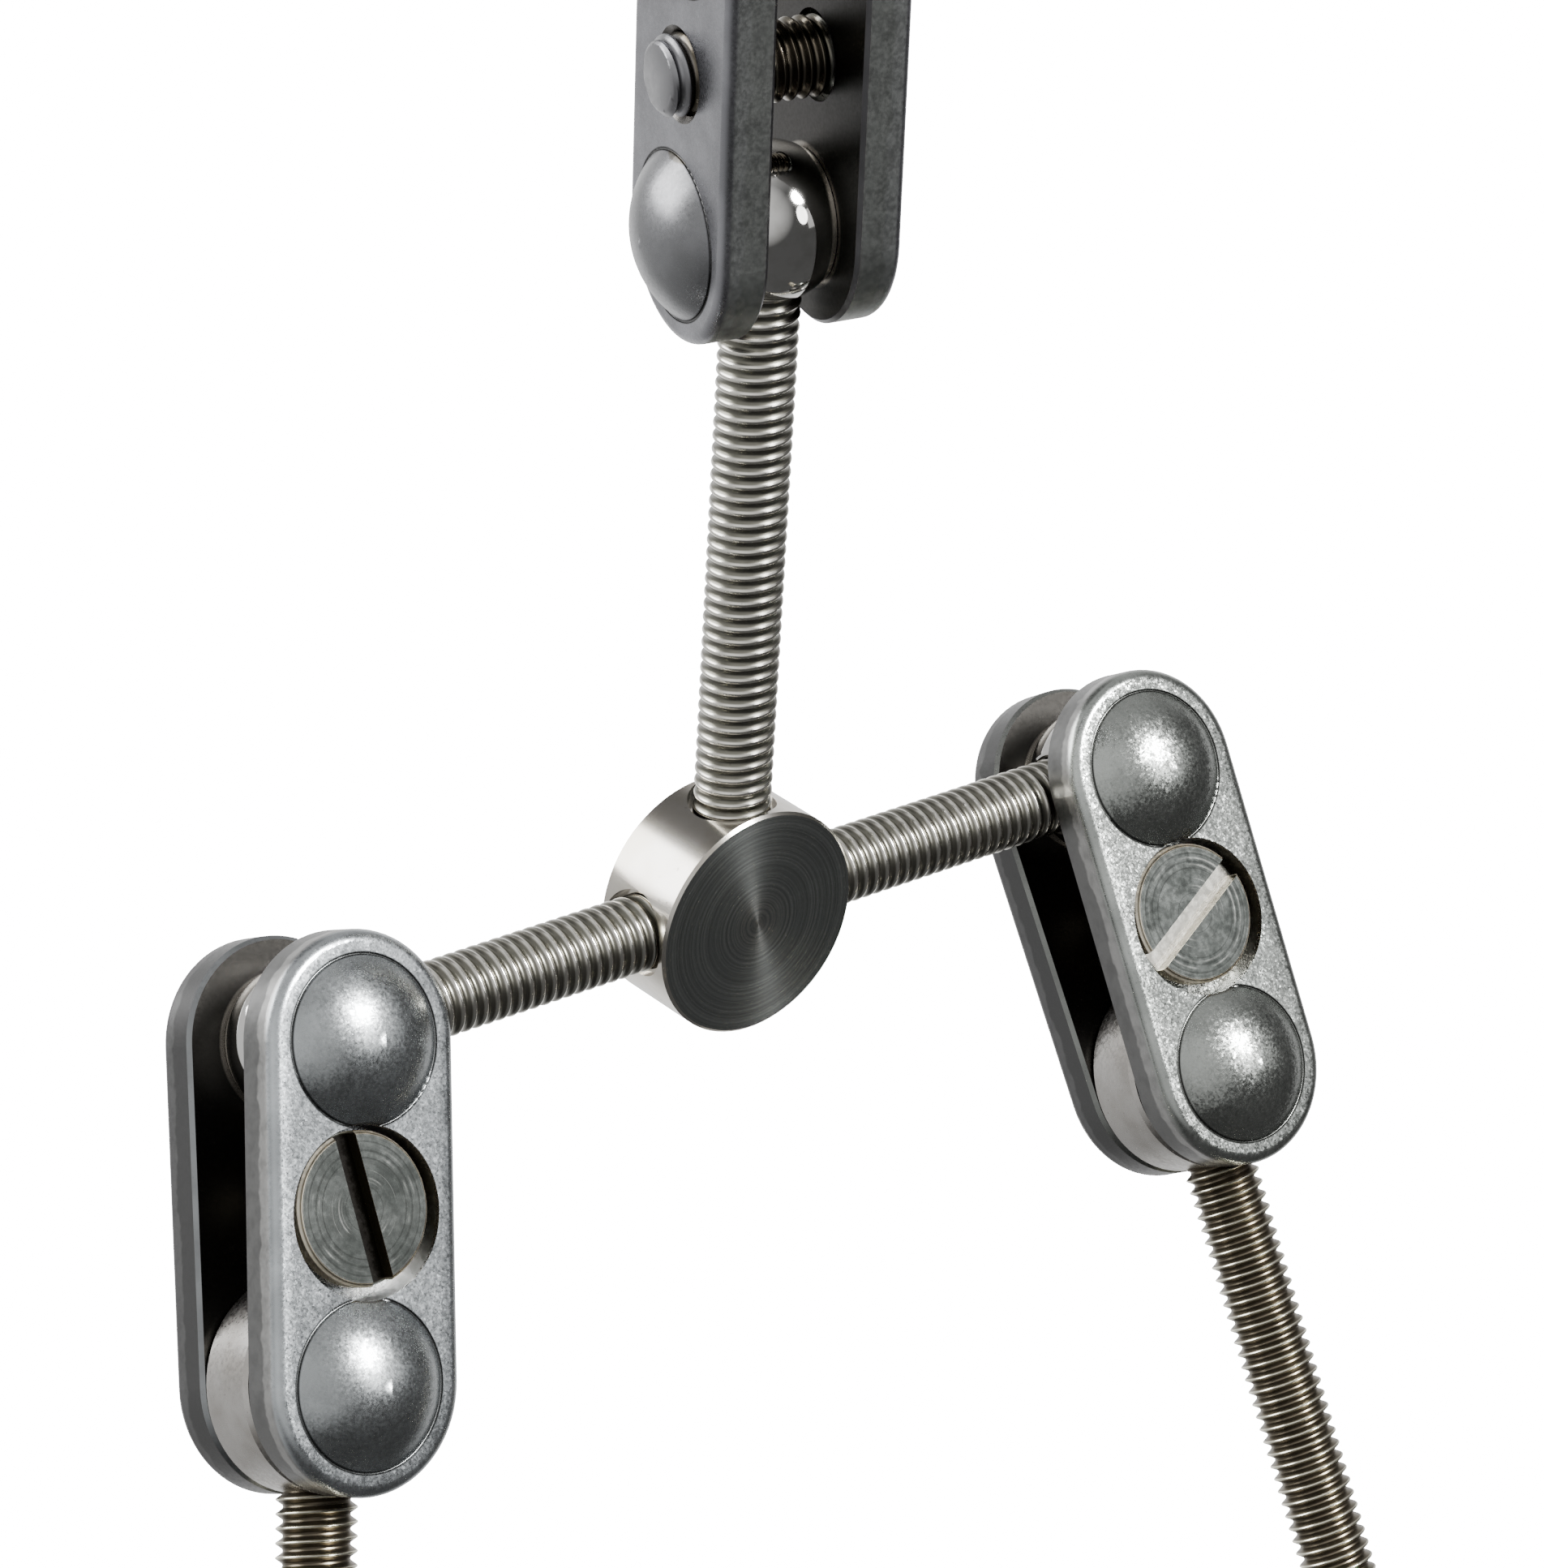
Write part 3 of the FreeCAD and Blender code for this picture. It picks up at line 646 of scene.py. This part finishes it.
def screw_piece(name, turn_joint, slot_light_and_shade):
    """The CAD screw's head with a real thread in place of its plain shank."""
    middle = joint_point(turn_joint)
    head_side = joint_axis(turn_joint)
    bm = bmesh.new()
    bm.from_mesh(frame["nodes"][name].data)
    bmesh.ops.remove_doubles(bm, verts=bm.verts[:], dist=THREAD_WELD)
    heights = {vert: (vert.co - middle).dot(head_side) for vert in bm.verts}
    wide = [vert for vert in bm.verts
            if (vert.co - middle - head_side * heights[vert]).length > 1.5 * THREAD_RADIUS]
    seat = min(heights[vert] for vert in wide)
    shank = [vert for vert in bm.verts if heights[vert] < seat - 0.01 * MM]
    bmesh.ops.delete(bm, geom=shank, context="VERTS")
    thread = bmesh.new()
    add_thread(thread, -SCREW_TIP, seat + SCREW_SEAT_OVERLAP, thread_profile(0.28 * MM, 0.1))
    thread.transform(axis_matrix(middle, head_side))
    scratch = bpy.data.meshes.new("scratch")
    thread.to_mesh(scratch)
    thread.free()
    bm.from_mesh(scratch)
    bpy.data.meshes.remove(scratch)
    steel = screw_material(f"{name}_steel", middle, head_side, max(heights.values()), slot_light_and_shade)
    new_piece(f"{name}_threaded", bm, Matrix.Identity(4), name, (name,), steel)


# slot floors: painted shade on the left and spine screws, painted light on the right one
screw_piece("left_screw", "left_screw_turn", (0.03, 0.028, 0.025))
screw_piece("right_screw", "right_screw_turn", (0.80, 0.78, 0.70))
screw_piece("spine_screw", "spine_screw_turn", (0.10, 0.095, 0.085))

# --- floor, light and camera --------------------------------------------------------------


def make_floor():
    """Pale floor just under the lowest rod end."""
    z = CAD_BOX[0][2] - FLOOR_DROP
    mesh = bpy.data.meshes.new("floor")
    reach = FLOOR_REACH
    corners = [(-reach, -reach, z), (reach, -reach, z), (reach, reach, z), (-reach, reach, z)]
    mesh.from_pydata(corners, [], [(0, 1, 2, 3)])
    floor = bpy.data.objects.new("floor", mesh)
    bpy.context.scene.collection.objects.link(floor)
    material = bpy.data.materials.new("floor_pale")
    material.use_nodes = True
    shader = material.node_tree.nodes["Principled BSDF"]
    shader.inputs["Base Color"].default_value = (0.92, 0.92, 0.91, 1.0)
    shader.inputs["Roughness"].default_value = 0.9
    shader.inputs["Emission Color"].default_value = (1.0, 1.0, 1.0, 1.0)
    shader.inputs["Emission Strength"].default_value = FLOOR_GLOW
    mesh.materials.append(material)
    return floor


def towards(azimuth, elevation):
    """Unit vector at degrees from -Y towards +X, and above the horizon."""
    azimuth, elevation = math.radians(azimuth), math.radians(elevation)
    return Vector((math.sin(azimuth) * math.cos(elevation),
                   -math.cos(azimuth) * math.cos(elevation), math.sin(elevation)))


def area_light(name, direction, distance, width, height, power, shape="RECTANGLE"):
    """Soft light at a distance from the origin, turned towards it."""
    data = bpy.data.lights.new(name, "AREA")
    data.shape = shape
    data.size = width
    data.size_y = height
    data.energy = power
    light = bpy.data.objects.new(name, data)
    light.location = direction * distance
    light.rotation_euler = (-direction).to_track_quat("-Z", "Y").to_euler()
    bpy.context.scene.collection.objects.link(light)


def levels(tree, direction, toward, stops):
    """Grey level by the cosine between the looked-at direction and one fixed direction."""
    dot = tree.nodes.new("ShaderNodeVectorMath")
    dot.operation = "DOT_PRODUCT"
    dot.inputs[1].default_value = toward
    tree.links.new(direction, dot.inputs[0])
    share = tree.nodes.new("ShaderNodeMapRange")
    share.inputs["From Min"].default_value = -1.0
    share.inputs["From Max"].default_value = 1.0
    tree.links.new(dot.outputs["Value"], share.inputs["Value"])
    ramp = tree.nodes.new("ShaderNodeValToRGB")
    tree.links.new(share.outputs["Result"], ramp.inputs["Fac"])
    elements = ramp.color_ramp.elements
    elements[0].position = (stops[0][0] + 1) / 2
    elements[1].position = (stops[-1][0] + 1) / 2
    for cosine, _ in stops[1:-1]:
        elements.new((cosine + 1) / 2)
    for element, (_, level) in zip(elements, stops):
        element.color = (level, level, level, 1.0)
    return ramp.outputs["Color"]


def combine(tree, operation, first, second):
    node = tree.nodes.new("ShaderNodeVectorMath")
    node.operation = operation
    tree.links.new(first, node.inputs[0])
    tree.links.new(second, node.inputs[1])
    return node.outputs[0]


def make_world():
    """Studio surroundings: dark in front, pale table and wall around, a pale backdrop."""
    world = bpy.data.worlds.new("studio")
    bpy.context.scene.world = world
    world.use_nodes = True
    tree = world.node_tree
    direction = tree.nodes.new("ShaderNodeTexCoord").outputs["Generated"]
    room = levels(tree, direction, towards(25, -20),
                  ((-1.0, 0.80), (-0.5, 0.70), (-0.25, 0.55), (0.0, 0.30), (0.25, 0.10),
                   (1.0, 0.09)))
    table = levels(tree, direction, towards(140, -27), ((0.60, 0.0), (0.85, 0.9), (1.0, 1.0)))
    window = levels(tree, direction, towards(-45, 28), ((0.70, 0.0), (0.92, 0.6), (1.0, 0.75)))
    doorway = levels(tree, direction, towards(176, 46), ((0.90, 1.0), (0.975, 0.26), (1.0, 0.22)))
    total = combine(tree, "ADD", combine(tree, "ADD", room, table), window)
    total = combine(tree, "MULTIPLY", total, doorway)
    seen = tree.nodes.new("ShaderNodeMix")
    seen.data_type = "RGBA"
    seen.inputs["B"].default_value = (FLOOR_GLOW, FLOOR_GLOW, FLOOR_GLOW, 1.0)
    tree.links.new(tree.nodes.new("ShaderNodeLightPath").outputs["Is Camera Ray"],
                   seen.inputs["Factor"])
    tree.links.new(total, seen.inputs["A"])
    background = tree.nodes["Background"]
    tree.links.new(seen.outputs["Result"], background.inputs["Color"])
    background.inputs["Strength"].default_value = 1.0


def make_camera():
    """The photograph's camera, as fitted to the edges measured in it."""
    data = bpy.data.cameras.new("camera")
    data.sensor_width = 36.0
    data.lens = 127.313
    data.clip_start = 0.01
    data.clip_end = 20.0
    upright = (-towards(-40.461, 26.776)).to_track_quat("-Z", "Y")
    roll = math.radians(3.429)
    camera = bpy.data.objects.new("camera", data)
    camera.rotation_mode = "QUATERNION"
    camera.rotation_quaternion = upright @ Quaternion(Z_AXIS, roll)
    camera.location = Vector((-160.665, -188.799, 133.053)) * MM
    bpy.context.scene.collection.objects.link(camera)
    bpy.context.scene.camera = camera


floor = make_floor()
floor.visible_glossy = False
make_world()
make_camera()
area_light("key", towards(25, 46), 0.60, 0.17, 0.17, 12.0, "DISK")
area_light("key_tail", towards(18, 25), 0.60, 0.16, 0.24, 0.6, "ELLIPSE")
area_light("front_fill", towards(40, 18), 0.70, 0.40, 0.28, 0.22)
area_light("back_left", towards(-140, 24), 0.80, 0.60, 0.42, 6.5)
